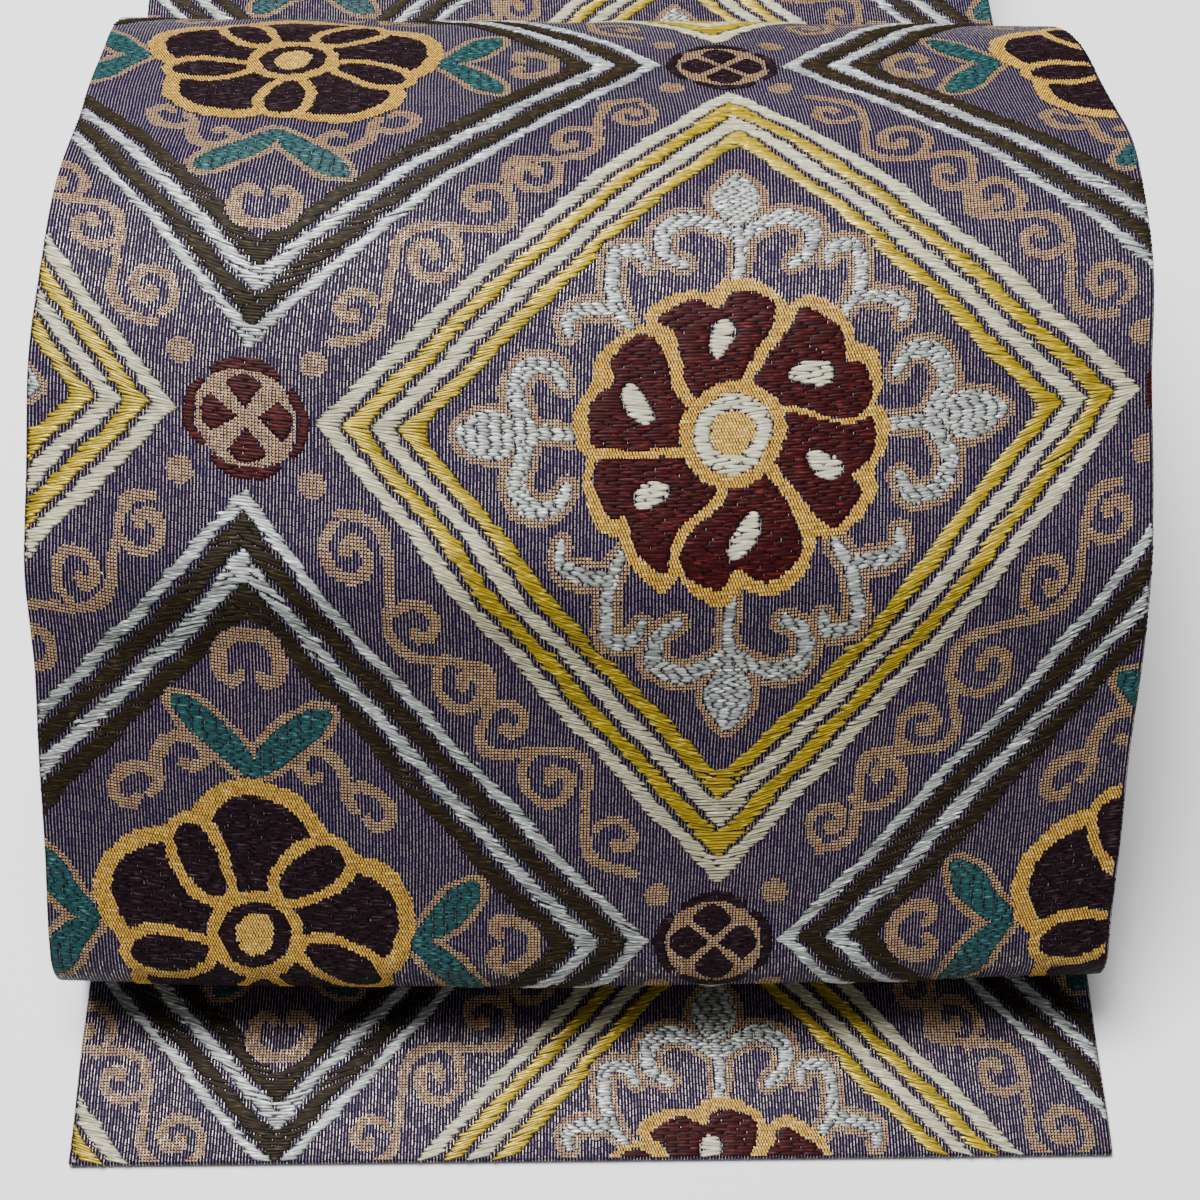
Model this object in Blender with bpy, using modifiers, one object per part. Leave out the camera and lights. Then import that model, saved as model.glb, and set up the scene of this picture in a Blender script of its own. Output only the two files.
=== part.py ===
"""Obi sash, folded and set out on a table with its drum bow arched up.

The whole sash is one long strip of stiff brocade.  From its free end it lies flat as the tail, turns back over
itself, rolls up into the drum, arches over an open tunnel, tucks down behind, runs back as the last stretch that
shows, and is then folded to and fro into a low stack.  Metres, +Z up, the tail end towards -Y.

A stretch of cloth is followed from the side, as a maker would measure it: a run length and a turn for each row of
a short table.  The face of the cloth is on the left of the way that the path goes.
"""

import math
from collections import namedtuple

import bmesh
import bpy

# Cloth
CLOTH_WIDTH = 0.310
CLOTH_THICKNESS = 0.0025
SEAM_GAP = 0.0003

# Places from front to back, measured from just behind the tail end, and heights above the tail's face
TAIL_END = -0.004
TAIL_FOLD = 0.206
TAIL_FOLD_RADIUS = 0.00275
TAIL_SEAM = 0.102
BACK_EDGE = 0.500
STRIP_HEIGHT = 0.0700
TUCK_FOLD_RADIUS = 0.0015
HEEL_RADIUS = 0.0055
BACK_FOLD_RADIUS = 0.0036
BACK_LIP = 0.010
TUCK_FRONT = 0.3185
TUCK_SEAM = 0.3240

# The folded length
STACK_FRONT = 0.232
STACK_LAYERS = 12
STACK_TOP = STRIP_HEIGHT - SEAM_GAP
STACK_PITCH = STACK_TOP / STACK_LAYERS
LEAF_SHARE = 0.60
LEAF_LIP = 0.0005
GROOVE_DEPTH = 0.004
NOSE_SWELL = 0.001
CORNER_CUT = 0.004
TOP_LAYER_SET_IN = 0.020
WANDER = 0.0016

# Steps of the meshes
CROWN_COLUMNS = 10
FLAT_COLUMNS = 2

# A row is one run of the path: length in metres, turn in degrees (left is positive), steps, and at its end how far
# the cloth has slid sideways and how far its middle stands out from its selvedges.
Run = namedtuple("Run", "name length turn steps slide crown")
Station = namedtuple("Station", "place height heading slide crown")

DRUM_RUNS = (
    Run("return layer", 0.0441, 0.0, 2, -0.0031, 0.0000),
    Run("bottom roll", 0.0092, -66.0, 6, -0.0031, 0.0015),
    Run("hem of the roll", 0.0143, 0.0, 2, -0.0031, 0.0030),
    Run("turn up", 0.0155, -69.0, 7, -0.0031, 0.0030),
    Run("lower front", 0.0517, 0.9, 3, -0.0024, 0.0040),
    Run("rising front", 0.0557, 5.8, 4, -0.0015, 0.0050),
    Run("ridge", 0.0162, -23.6, 4, -0.0012, 0.0050),
    Run("upper front", 0.0513, -2.2, 3, -0.0006, 0.0040),
    Run("crest", 0.0841, -45.9, 8, 0.0039, 0.0015),
    Run("back slope", 0.0501, -0.1, 2, 0.0029, 0.0005),
    Run("shoulder", 0.0357, -19.5, 4, 0.0013, 0.0000),
    Run("back fall", 0.0174, -19.5, 3, -0.0003, 0.0000),
)
TAIL_SLIDE = -0.0003
STRIP_SLIDE = -0.0035

# The origin is under the middle of the whole sash.
MIDDLE = (TAIL_END + BACK_EDGE) / 2
MIDDLE_ACROSS = (STRIP_SLIDE + max(run.slide for run in DRUM_RUNS)) / 2

Finish = namedtuple("Finish", "colour roughness metallic")
FINISHES = {
    "tail_stretch": Finish((0.105, 0.065, 0.130), 0.55, 0.0),
    "drum_stretch": Finish((0.115, 0.070, 0.140), 0.55, 0.0),
    "back_stretch": Finish((0.105, 0.065, 0.130), 0.55, 0.0),
    "folded_length": Finish((0.090, 0.055, 0.115), 0.60, 0.0),
}


def clear_scene():
    """Remove every object that the scene starts with."""
    for item in list(bpy.data.objects):
        bpy.data.objects.remove(item, do_unlink=True)


def make_collection():
    """The collection that holds the sash's pieces."""
    collection = bpy.data.collections.new("obi_sash")
    bpy.context.scene.collection.children.link(collection)
    return collection


def make_material(name):
    """A piece's own material."""
    finish = FINISHES[name]
    material = bpy.data.materials.new(name)
    material.use_nodes = True
    shader = material.node_tree.nodes["Principled BSDF"]
    shader.inputs["Base Color"].default_value = (*finish.colour, 1.0)
    shader.inputs["Roughness"].default_value = finish.roughness
    shader.inputs["Metallic"].default_value = finish.metallic
    return material


def add_piece(name, mesh, collection):
    """Put a mesh in the collection as a named object with its own material."""
    piece = bpy.data.objects.new(name, mesh)
    mesh.materials.append(make_material(name))
    collection.objects.link(piece)
    return piece


def follow(start, runs):
    """Stations along a path: each run turns evenly over its length, in straight steps along its chords."""
    stations = [start]
    for run in runs:
        before = stations[-1]
        step = run.length / run.steps
        turn = math.radians(run.turn) / run.steps
        for number in range(1, run.steps + 1):
            share = number / run.steps
            last = stations[-1]
            chord = step if turn == 0 else step * math.sin(turn / 2) / (turn / 2)
            middle = last.heading + turn / 2
            stations.append(
                Station(
                    last.place + chord * math.cos(middle),
                    last.height + chord * math.sin(middle),
                    last.heading + turn,
                    before.slide + share * (run.slide - before.slide),
                    before.crown + share * (run.crown - before.crown),
                )
            )
    return stations


def cloth_wall(name, stations, columns, collection):
    """A wall of cloth whose face passes through the stations, right across the sash's width."""
    sheet = bmesh.new()
    rows = []
    for station in stations:
        row = []
        for number in range(columns + 1):
            across = CLOTH_WIDTH * (number / columns - 0.5)
            lift = station.crown * (1 - (2 * across / CLOTH_WIDTH) ** 2)
            place = station.place - MIDDLE - lift * math.sin(station.heading)
            height = station.height + CLOTH_THICKNESS + lift * math.cos(station.heading)
            row.append(sheet.verts.new((station.slide - MIDDLE_ACROSS + across, place, height)))
        rows.append(row)
    for row, after in zip(rows, rows[1:]):
        for left, right, far_right, far_left in zip(row, row[1:], after[1:], after):
            sheet.faces.new((left, right, far_right, far_left))
    mesh = bpy.data.meshes.new(name)
    sheet.to_mesh(mesh)
    sheet.free()
    mesh.shade_smooth()
    piece = add_piece(name, mesh, collection)
    wall = piece.modifiers.new("cloth", "SOLIDIFY")
    wall.thickness = CLOTH_THICKNESS
    wall.offset = -1.0
    wall.use_even_offset = True
    return piece


def arc_run(name, radius, turn, steps, slide):
    """A run round an arc of the given radius."""
    return Run(name, radius * math.radians(abs(turn)), turn, steps, slide, 0.0)


def make_tail(collection):
    """The free end: flat on the table, folded back over itself and forward again to meet the drum."""
    start = Station(TAIL_END, 0.0, 0.0, TAIL_SLIDE, 0.0)
    return_slide = DRUM_RUNS[0].slide
    runs = (
        Run("tail", TAIL_FOLD - TAIL_END, 0.0, 4, TAIL_SLIDE, 0.0),
        arc_run("tail fold", TAIL_FOLD_RADIUS, 180.0, 8, return_slide),
        Run("return layer", TAIL_FOLD - TAIL_SEAM, 0.0, 2, return_slide, 0.0),
    )
    return cloth_wall("tail_stretch", follow(start, runs), FLAT_COLUMNS, collection)


def make_drum(collection):
    """The drum: a soft roll at the bottom, the arched front, the crest, and the back down to its tuck."""
    start = Station(TAIL_SEAM - SEAM_GAP, 2 * TAIL_FOLD_RADIUS, math.pi, DRUM_RUNS[0].slide, 0.0)
    stations = follow(start, DRUM_RUNS)
    last = stations[-1]
    landing = STRIP_HEIGHT + 2 * TUCK_FOLD_RADIUS
    heel_drop = HEEL_RADIUS * (1 - math.cos(last.heading + math.pi))
    fall = (last.height - landing - heel_drop) / -math.sin(last.heading)
    heel_turn = -math.degrees(last.heading) - 180.0
    to_tuck = (
        Run("back", fall, 0.0, 2, STRIP_SLIDE, 0.0),
        arc_run("heel", HEEL_RADIUS, heel_turn, 8, STRIP_SLIDE),
    )
    stations += follow(last, to_tuck)[1:]
    heel = stations[-1]
    tuck = (Run("tuck", heel.place - TUCK_SEAM, 0.0, 1, STRIP_SLIDE, 0.0),)
    stations += follow(heel, tuck)[1:]
    return cloth_wall("drum_stretch", stations, CROWN_COLUMNS, collection)


def make_back(collection):
    """The last stretch that shows: out of the tuck, flat to the back edge and down into the stack."""
    height = STRIP_HEIGHT + 2 * TUCK_FOLD_RADIUS
    start = Station(TUCK_SEAM - SEAM_GAP, height, math.pi, STRIP_SLIDE, 0.0)
    tuck_end = TUCK_FRONT + CLOTH_THICKNESS + TUCK_FOLD_RADIUS
    back_end = BACK_EDGE - BACK_FOLD_RADIUS
    runs = (
        Run("tuck", start.place - tuck_end, 0.0, 1, STRIP_SLIDE, 0.0),
        arc_run("tuck fold", TUCK_FOLD_RADIUS, 180.0, 8, STRIP_SLIDE),
        Run("strip", back_end - tuck_end, 0.0, 4, STRIP_SLIDE, 0.0),
        arc_run("back fold", BACK_FOLD_RADIUS, -180.0, 8, STRIP_SLIDE),
        Run("lip", BACK_LIP, 0.0, 1, STRIP_SLIDE, 0.0),
    )
    return cloth_wall("back_stretch", follow(start, runs), FLAT_COLUMNS, collection)


def stack_outline(front, back, side):
    """Eight corners of a layer seen from above, with its corners cut off, drawn anticlockwise."""
    near = front - MIDDLE
    far = back - MIDDLE
    left = STRIP_SLIDE - MIDDLE_ACROSS - side
    right = STRIP_SLIDE - MIDDLE_ACROSS + side
    return (
        (left + CORNER_CUT, near),
        (right - CORNER_CUT, near),
        (right, near + CORNER_CUT),
        (right, far - CORNER_CUT),
        (right - CORNER_CUT, far),
        (left + CORNER_CUT, far),
        (left, far - CORNER_CUT),
        (left, near + CORNER_CUT),
    )


def stack_rings():
    """(height, outline) from the table up: two rings for each layer and two for the gap above it."""
    rings = []
    leaf = STACK_PITCH * LEAF_SHARE
    for layer in range(STACK_LAYERS, 0, -1):
        bottom = STACK_TOP - leaf - (layer - 1) * STACK_PITCH
        if layer == STACK_LAYERS:
            bottom = 0.0
        top = STACK_TOP - (layer - 1) * STACK_PITCH
        front = STACK_FRONT + WANDER * math.sin(2.1 * layer)
        back = BACK_EDGE - NOSE_SWELL + WANDER * (math.cos(1.7 * layer) - 1)
        side = CLOTH_WIDTH / 2 + WANDER * (math.sin(2.9 * layer) - 1)
        if layer == 1:
            back = BACK_EDGE - TOP_LAYER_SET_IN
        rings.append((bottom, stack_outline(front, back, side)))
        rings.append((top, stack_outline(front, back, side)))
        if layer > 1:
            nose_in_front = layer % 2 == 0
            gap_front = front - NOSE_SWELL if nose_in_front else front + GROOVE_DEPTH
            gap_back = back - GROOVE_DEPTH if nose_in_front else back + NOSE_SWELL
            if layer == 2:
                gap_back = BACK_EDGE - TOP_LAYER_SET_IN - GROOVE_DEPTH
            gap = stack_outline(gap_front, gap_back, side - GROOVE_DEPTH)
            rings.append((top + LEAF_LIP, gap))
            rings.append((top + STACK_PITCH - leaf - LEAF_LIP, gap))
    return rings


def make_stack(collection):
    """The rest of the sash, folded to and fro: one solid whose layers show all round its edges."""
    solid = bmesh.new()
    rings = [[solid.verts.new((x, y, height)) for x, y in outline] for height, outline in stack_rings()]
    for ring, above in zip(rings, rings[1:]):
        for number, corner in enumerate(ring):
            after = (number + 1) % len(ring)
            solid.faces.new((corner, ring[after], above[after], above[number]))
    solid.faces.new(reversed(rings[0]))
    solid.faces.new(rings[-1])
    mesh = bpy.data.meshes.new("folded_length")
    solid.to_mesh(mesh)
    solid.free()
    return add_piece("folded_length", mesh, collection)


def main():
    """Build the sash."""
    clear_scene()
    collection = make_collection()
    make_tail(collection)
    make_drum(collection)
    make_back(collection)
    make_stack(collection)


main()
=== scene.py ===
import math
from collections import namedtuple

import bpy
import numpy as np
from mathutils import Matrix, Vector


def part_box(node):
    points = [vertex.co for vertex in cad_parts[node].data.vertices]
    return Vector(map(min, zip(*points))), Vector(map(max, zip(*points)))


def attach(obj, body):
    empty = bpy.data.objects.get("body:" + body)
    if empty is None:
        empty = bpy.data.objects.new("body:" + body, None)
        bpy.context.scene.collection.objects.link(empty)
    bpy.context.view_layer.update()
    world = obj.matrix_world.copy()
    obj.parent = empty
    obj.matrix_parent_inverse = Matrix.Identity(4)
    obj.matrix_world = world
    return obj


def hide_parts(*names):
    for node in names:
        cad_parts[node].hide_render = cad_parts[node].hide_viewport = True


# An obi sash of figured brocade, folded and set out with its drum bow arched up.
#
# The sash is one long strip of stiff cloth: a flat tail, the drum, a flat stretch behind it, and the rest
# folded to and fro into a low stack.  One repeat of the design is drawn on a weaver's point paper.  The
# cloth is cut flat, its figures are woven on it as raised floats of thread, row by row from the paper, and
# all of it is then folded along the same path.  Metres, +Z up, the tail end towards -Y.

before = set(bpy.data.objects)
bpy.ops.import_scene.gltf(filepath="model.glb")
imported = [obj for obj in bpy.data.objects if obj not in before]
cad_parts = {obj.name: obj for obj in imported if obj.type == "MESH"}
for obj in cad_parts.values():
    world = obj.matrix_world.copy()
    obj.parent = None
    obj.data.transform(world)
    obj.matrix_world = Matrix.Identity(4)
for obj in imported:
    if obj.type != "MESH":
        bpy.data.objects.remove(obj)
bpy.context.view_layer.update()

# ---------------- sizes

WIDTH = 0.310
WALL = 0.0025
PATH_STEP = 0.001
SOFTENED_STEPS = 8

# Places from front to back, and heights above the tail's face
TAIL_END = -0.004
TAIL_FOLD = 0.206
TAIL_FOLD_RADIUS = 0.00275
TAIL_SEAM = 0.102
SEAM_GAP = 0.0003
STRIP_HEIGHT = 0.0700
TUCK_RADIUS = 0.0015
HEEL_RADIUS = 0.0055
TUCK_FRONT = 0.3185
TUCK_SEAM = 0.3240
BACK_EDGE = 0.500
BACK_FOLD_RADIUS = 0.0036
BACK_LIP = 0.010
LANDING = STRIP_HEIGHT + 2 * TUCK_RADIUS

# The stack
STACK_FRONT = 0.232
STACK_LAYERS = 12
STACK_WALL = 0.0030
TOP_LAYER_BACK = 0.479
LAYER_WANDER = 0.0014

# A row is one run of the path: its length, its turn in degrees (left is positive), and at its end how far the
# cloth has slid sideways and how far its middle stands out from its selvedges.
Run = namedtuple("Run", "name length turn slide crown", defaults=(0.0,))
DRUM_RUNS = (
    Run("return layer", 0.0441, 0.0, -0.0031, 0.0000),
    Run("bottom roll", 0.0092, -66.0, -0.0031, 0.0015),
    Run("hem of the roll", 0.0143, 0.0, -0.0031, 0.0030),
    Run("turn up", 0.0155, -69.0, -0.0031, 0.0030),
    Run("lower front", 0.0517, 0.9, -0.0024, 0.0040),
    Run("rising front", 0.0557, 5.8, -0.0015, 0.0050),
    Run("ridge", 0.0162, -23.6, -0.0012, 0.0050),
    Run("upper front", 0.0513, -2.2, -0.0006, 0.0040),
    Run("crest", 0.0841, -45.9, 0.0039, 0.0015),
    Run("back slope", 0.0501, -0.1, 0.0029, 0.0005),
    Run("shoulder", 0.0357, -19.5, 0.0013, 0.0000),
    Run("back fall", 0.0174, -19.5, -0.0003, 0.0000),
)
TAIL_SLIDE = -0.0003
STRIP_SLIDE = -0.0035

# Waves in the selvedges: how far the cloth strays sideways, how fast along its length, and where a wave
# starts
Wander = namedtuple("Wander", "reach pace start")
WANDERS = (Wander(0.0003, 47, 0.0), Wander(0.0002, 113, 1.0))

# Where the path's places lie in the frame
strip_low, strip_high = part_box("back_stretch")
FRONT_TO_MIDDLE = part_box("tail_stretch")[0].y - TAIL_END
SLIDE_TO_MIDDLE = (strip_low.x + strip_high.x) / 2 - STRIP_SLIDE

# ---------------- the camera

CAMERA_PLACE = (-0.0165, -0.3895, 0.5798)
CAMERA_YAW = 3.64
CAMERA_DOWN = 60.34
CAMERA_ROLL = 3.08
CAMERA_LENS = 57.75


def add_camera():
    """The camera, in front of the sash and looking steeply down on it."""
    bpy.ops.object.camera_add(location=CAMERA_PLACE)
    camera = bpy.context.object
    camera.name = "camera"
    camera.data.lens = CAMERA_LENS
    turn = (
        Matrix.Rotation(math.radians(-CAMERA_YAW), 3, "Z")
        @ Matrix.Rotation(math.radians(90.0 - CAMERA_DOWN), 3, "X")
        @ Matrix.Rotation(math.radians(CAMERA_ROLL), 3, "Z")
    )
    camera.rotation_euler = turn.to_euler()
    bpy.context.scene.camera = camera


# ---------------- the folded path

# A stretch of cloth: arrays along its path, and the tables that say which row of the design lies where.
Stretch = namedtuple("Stretch", "name length place height heading slide crown measure figure bow_at bow")


def trace(place, height, heading, slide, runs):
    """Follow the runs in short steps.  Returns columns of length, place, height, heading, slide and crown."""
    rows = [(0.0, place, height, heading, slide, 0.0)]
    for run in runs:
        steps = max(2, math.ceil(run.length / PATH_STEP))
        step = run.length / steps
        turn = math.radians(run.turn) / steps
        *_, slide_before, crown_before = rows[-1]
        for number in range(1, steps + 1):
            share = number / steps
            length, place, height, heading, _, _ = rows[-1]
            middle = heading + turn / 2
            row = (
                length + step,
                place + step * math.cos(middle),
                height + step * math.sin(middle),
                heading + turn,
                slide_before + share * (run.slide - slide_before),
                crown_before + share * (run.crown - crown_before),
            )
            rows.append(row)
    return np.array(rows).T


def softened(values):
    """Values averaged over a few steps either way, so that a change has no corner."""
    window = 2 * SOFTENED_STEPS + 1
    padded = np.pad(values, SOFTENED_STEPS, mode="edge")
    return np.convolve(padded, np.ones(window) / window, mode="valid")


def arc(name, radius, turn, slide):
    """A run round an arc."""
    return Run(name, radius * math.radians(abs(turn)), turn, slide)


def make_stretch(name, columns, measure, figure, bow_at=(0.0, 1.0), bow=(0.0, 0.0)):
    """A stretch from its traced columns and its design tables."""
    length, place, height, heading, slide, crown = columns
    crown = softened(crown)
    slide = softened(slide) + SLIDE_TO_MIDDLE
    for wander in WANDERS:
        slide = slide + wander.reach * np.sin(wander.pace * length + wander.start)
    tables = (np.array(table) for table in (measure, figure, bow_at, bow))
    return Stretch(name, length, place + FRONT_TO_MIDDLE, height + WALL, heading, slide, crown, *tables)


def even_stretch(name, columns, figure):
    """A stretch that the design runs along evenly, from one of its rows on."""
    full = columns[0][-1]
    return make_stretch(name, columns, (0.0, full), (figure, figure - full))


def tail_path():
    """The free end: flat, turned back over itself, and forward again under the drum."""
    runs = (
        Run("tail", TAIL_FOLD - TAIL_END, 0.0, TAIL_SLIDE),
        arc("tail fold", TAIL_FOLD_RADIUS, 180.0, DRUM_RUNS[0].slide),
        Run("return layer", TAIL_FOLD - TAIL_SEAM, 0.0, DRUM_RUNS[0].slide),
    )
    return even_stretch("tail_stretch", trace(TAIL_END, 0.0, 0.0, TAIL_SLIDE, runs), TAIL_FIGURE)


def drum_path():
    """The drum: the roll at its foot, the arched front, the crest, and the back down to its tuck."""
    start = (TAIL_SEAM - SEAM_GAP, 2 * TAIL_FOLD_RADIUS, math.pi, DRUM_RUNS[0].slide)
    _, _, height, heading, _, _ = trace(*start, DRUM_RUNS)[:, -1]
    heel_drop = HEEL_RADIUS * (1 - math.cos(heading + math.pi))
    fall = (height - LANDING - heel_drop) / -math.sin(heading)
    runs = DRUM_RUNS + (
        Run("back", fall, 0.0, STRIP_SLIDE),
        arc("heel", HEEL_RADIUS, -math.degrees(heading) - 180.0, STRIP_SLIDE),
    )
    heel_place = trace(*start, runs)[1, -1]
    runs += (Run("tuck", heel_place - TUCK_SEAM, 0.0, STRIP_SLIDE),)
    columns = trace(*start, runs)
    return make_stretch("drum_stretch", columns, DRUM_MEASURE, DRUM_FIGURE, DRUM_BOW_AT, DRUM_BOW)


def back_path():
    """The last stretch that shows: out of the tuck, flat to the back edge and down into the stack."""
    start = TUCK_SEAM - SEAM_GAP
    tuck_end = TUCK_FRONT + WALL + TUCK_RADIUS
    back_end = BACK_EDGE - BACK_FOLD_RADIUS
    runs = (
        Run("tuck", start - tuck_end, 0.0, STRIP_SLIDE),
        arc("tuck fold", TUCK_RADIUS, 180.0, STRIP_SLIDE),
        Run("strip", back_end - tuck_end, 0.0, STRIP_SLIDE),
        arc("back fold", BACK_FOLD_RADIUS, -180.0, STRIP_SLIDE),
        Run("lip", BACK_LIP, 0.0, STRIP_SLIDE),
    )
    return even_stretch("back_stretch", trace(start, LANDING, math.pi, STRIP_SLIDE, runs), BACK_FIGURE)


def stack_path():
    """The rest of the sash, folded to and fro from the top layer down, no two layers quite alike."""
    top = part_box("folded_length")[1].z - WALL
    gap = (top + WALL - STACK_WALL) / (STACK_LAYERS - 1) - STACK_WALL
    tight = gap / 2
    wide = STACK_WALL + gap / 2
    runs = []
    here = TOP_LAYER_BACK
    for layer in range(1, STACK_LAYERS + 1):
        slide = STRIP_SLIDE + LAYER_WANDER * math.sin(2.9 * layer)
        forward = layer % 2 == 1
        if forward:
            goal = STACK_FRONT + STACK_WALL + tight + LAYER_WANDER * math.sin(2.1 * layer)
        else:
            goal = BACK_EDGE - wide - LAYER_WANDER * (1 + math.cos(1.7 * layer))
        runs.append(Run("layer", abs(goal - here), 0.0, slide))
        here = goal
        if layer < STACK_LAYERS:
            runs.append(arc("nose", tight if forward else wide, 180.0 if forward else -180.0, slide))
    columns = trace(TOP_LAYER_BACK, top - STACK_WALL, math.pi, STRIP_SLIDE, runs)
    return even_stretch("folded_length", columns, STACK_FIGURE)


# Soft troughs and ridges in the cloth, by stretch.  A row is one crease: its middle across and along, its
# half length, the way it runs (degrees from straight across), its half width, and its depth (a trough is
# below 0).
Crease = namedtuple("Crease", "across along half_length way half_width depth")
CREASES = {
    "tail_stretch": (Crease(0.083, 0.040, 0.036, 31.0, 0.0080, 0.0005),),
    "drum_stretch": (
        Crease(-0.112, 0.176, 0.046, 7.0, 0.0065, -0.0009),
        Crease(0.096, 0.198, 0.058, -5.0, 0.0080, -0.0008),
        Crease(-0.020, 0.187, 0.070, 1.5, 0.0100, 0.0005),
        Crease(0.128, 0.118, 0.026, 38.0, 0.0075, -0.0010),
        Crease(-0.131, 0.121, 0.024, -34.0, 0.0070, -0.0008),
        Crease(0.030, 0.096, 0.082, 2.0, 0.0090, -0.0005),
        Crease(-0.060, 0.262, 0.061, -3.0, 0.0110, -0.0005),
        Crease(0.104, 0.300, 0.034, 21.0, 0.0090, -0.0006),
        Crease(-0.124, 0.338, 0.030, -27.0, 0.0075, -0.0008),
        Crease(0.018, 0.352, 0.090, 2.5, 0.0095, 0.0005),
        Crease(0.061, 0.401, 0.052, -6.0, 0.0080, -0.0008),
        Crease(-0.080, 0.423, 0.044, 9.0, 0.0070, -0.0009),
        Crease(0.010, 0.446, 0.066, -2.0, 0.0060, 0.0006),
    ),
    "back_stretch": (Crease(-0.050, 0.090, 0.058, 4.0, 0.0085, 0.0004),),
    "folded_length": (),
}
# How far a crease strays to and fro, as a share of its half width, and how fast along it
CREASE_WAVER = 0.12
CREASE_PACE = 90.0


def crease_lift(stretch, across, along):
    """How far the creases lift the cloth at each point."""
    lift = np.zeros(np.broadcast(across, along).shape)
    for crease in CREASES[stretch.name]:
        way = math.radians(crease.way)
        side = across - crease.across
        on = along - crease.along
        run = side * math.cos(way) + on * math.sin(way)
        off = on * math.cos(way) - side * math.sin(way)
        off = off + CREASE_WAVER * crease.half_width * np.sin(run * CREASE_PACE)
        fade = np.exp(-((run / crease.half_length) ** 4))
        lift += crease.depth * fade * np.exp(-((off / crease.half_width) ** 2))
    return lift


def bulge(across):
    """1 at the middle of the sash and 0 at its selvedges."""
    return 1 - (2 * across / WIDTH) ** 2


def design_row(stretch, across, along):
    """Which row of the design lies at each point of the cloth."""
    bow = np.interp(along, stretch.bow_at, stretch.bow)
    return np.interp(along + bow * bulge(across), stretch.measure, stretch.figure)


def length_to(stretch, across, row):
    """How far along the path a row of the design lies, found in a few rounds because the rows are bowed."""
    middle = np.interp(row, stretch.figure[::-1], stretch.measure[::-1])
    along = middle
    for _ in range(8):
        along = middle - np.interp(along, stretch.bow_at, stretch.bow) * bulge(across)
    return along


def fold(stretch, across, along, lift):
    """Points of the folded cloth, from places across it, lengths along it and heights above its face."""
    heading = np.interp(along, stretch.length, stretch.heading)
    crown = np.interp(along, stretch.length, stretch.crown)
    rise = crown * bulge(across) + crease_lift(stretch, across, along) + lift
    x = np.interp(along, stretch.length, stretch.slide) + across
    y = np.interp(along, stretch.length, stretch.place) - rise * np.sin(heading)
    z = np.interp(along, stretch.length, stretch.height) + rise * np.cos(heading)
    return np.stack([x, y, z], axis=-1)


# ---------------- the design

REPEAT_ACROSS = 0.265
REPEAT_ALONG = 0.291
DESIGN_MIDDLE = 0.0376
SQUARE = 0.00025

# Rows of the design against lengths along the path.  Row 0 is the middle of a yellow diamond on the drum.
TAIL_FIGURE = 0.5565
BACK_FIGURE = -0.2910
STACK_FIGURE = -0.4800
DRUM_MEASURE = (0.0, 0.0963, 0.2233, 0.2513, 0.2793, 0.3873, 0.5400)
DRUM_FIGURE = (0.2360, 0.1455, 0.0263, -0.0008, -0.0300, -0.1455, -0.3089)
DRUM_BOW_AT = (0.0, 0.040, 0.104, 0.175, 0.2513, 0.325, 0.398, 0.500)
DRUM_BOW = (0.0, 0.0025, 0.012, 0.0145, 0.015, 0.0115, 0.006, 0.003)

# The bands of the diamonds, from the outside in: thread, width across, width along
Band = namedtuple("Band", "thread across along")
DIAMOND_ACROSS = 0.114
DIAMOND_ALONG = 0.126
YELLOW_BANDS = (
    Band("cream", 0.0073, 0.0083),
    Band("gold", 0.0078, 0.0088),
    Band("cream", 0.0073, 0.0083),
    Band("gold", 0.0080, 0.0088),
)
BROWN_BANDS = (
    Band("silver", 0.0062, 0.0068),
    Band("brown", 0.0080, 0.0088),
    Band("silver", 0.0073, 0.0080),
    Band("brown", 0.0084, 0.0090),
)
CORNER_ROUNDING = 0.0010

# A drawn stroke is a line of points: how far out each is from the motif's middle, how far to its side, and
# half of the stroke's width there.
STROKE_STEPS = 14


def smooth_stroke(*points):
    """A smooth curve through the points."""
    rows = np.array(points, float)
    rows = np.vstack([2 * rows[0] - rows[1], rows, 2 * rows[-1] - rows[-2]])
    t = np.linspace(0, 1, STROKE_STEPS, endpoint=False)[:, None]
    parts = []
    for a, b, c, d in zip(rows, rows[1:], rows[2:], rows[3:]):
        square = t**2 * (a - 2.5 * b + 2 * c - d / 2)
        cube = t**3 * (1.5 * (b - c) + (d - a) / 2)
        parts.append(b + t * (c - a) / 2 + square + cube)
    return np.vstack(parts + [rows[-2:-1]])


PALMETTE_STEM = smooth_stroke((0.042, 0.0, 0.0018), (0.050, 0.0003, 0.0018), (0.057, 0.0, 0.0022))
PALMETTE_ARM = smooth_stroke(
    (0.0555, 0.0000, 0.0020), (0.0590, 0.0060, 0.0023), (0.0615, 0.0130, 0.0026),
    (0.0575, 0.0198, 0.0026), (0.0505, 0.0196, 0.0022), (0.0470, 0.0145, 0.0016),
)
PALMETTE_BUD = smooth_stroke(
    (0.0610, 0.0, 0.0014), (0.0640, 0.0, 0.0048), (0.0680, 0.0, 0.0068),
    (0.0720, 0.0, 0.0050), (0.0765, 0.0, 0.0016),
)
SPRIG_LONG = smooth_stroke(
    (0.0430, 0.0000, 0.0014), (0.0510, 0.0010, 0.0018), (0.0580, 0.0050, 0.0021),
    (0.0630, 0.0115, 0.0020), (0.0590, 0.0165, 0.0020), (0.0540, 0.0150, 0.0014),
)
SPRIG_SHORT = smooth_stroke(
    (0.0510, 0.0000, 0.0018), (0.0560, -0.0060, 0.0020), (0.0575, -0.0115, 0.0019),
    (0.0540, -0.0145, 0.0013),
)
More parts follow.
